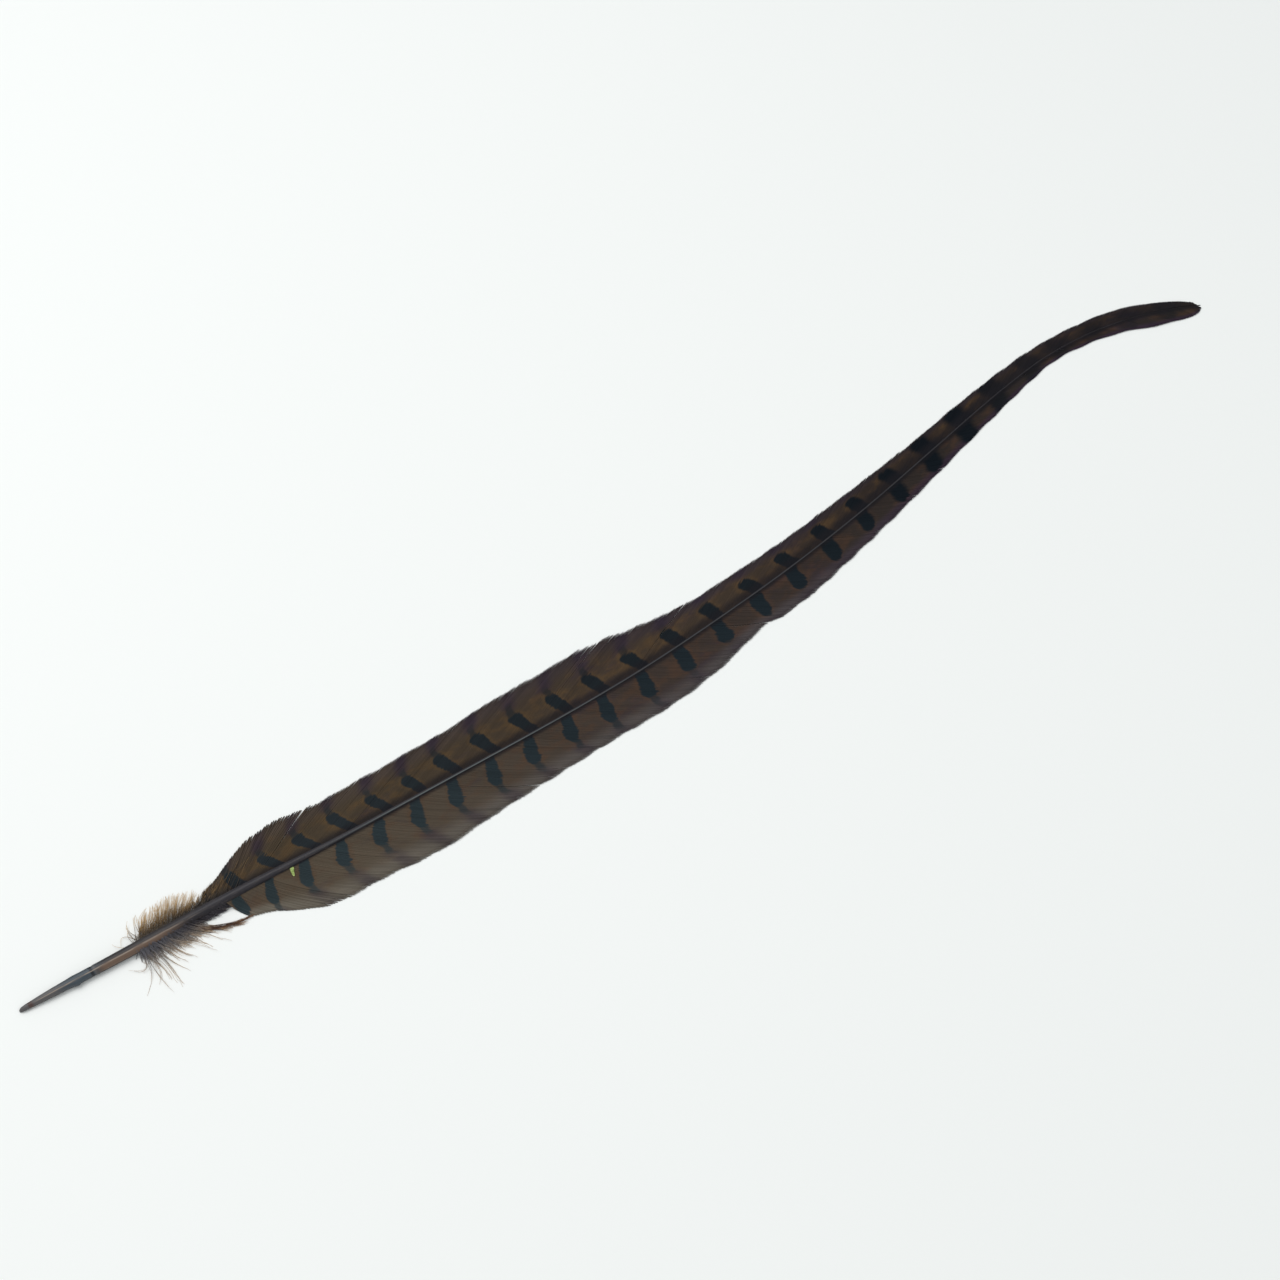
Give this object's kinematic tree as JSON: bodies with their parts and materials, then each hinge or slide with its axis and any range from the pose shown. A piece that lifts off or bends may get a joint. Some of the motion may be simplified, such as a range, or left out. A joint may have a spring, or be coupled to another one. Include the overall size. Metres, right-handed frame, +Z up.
{
  "type": "pheasant tail feather",
  "caption": "Long barred tail feather of a ringneck pheasant, dyed chocolate brown, lying flat: quill, wide and narrow vanes, and down at their foot.",
  "frame": {"origin": "on the table under the middle of the feather's box", "axes": "+X from the quill's end to the tip, +Y towards the narrow vane, +Z up"},
  "size_m": [0.551, 0.0526, 0.0044],
  "materials": {
    "horn": "smooth dark brown horn, semi-gloss, paler towards the thin end",
    "wide_web": "silky barbs, chocolate brown with blue-black bars and a smoky margin",
    "narrow_web": "silky barbs, warmer brown with blue-black bars and a smoky margin",
    "down": "soft grey-brown down with paler tan tips"
  },
  "bodies": {
    "root": {"shaft": "horn", "wide_vane": "wide_web", "narrow_vane": "narrow_web", "wide_side_down": "down", "narrow_side_down": "down", "loose_barbs": "wide_web"}
  },
  "joints": []
}
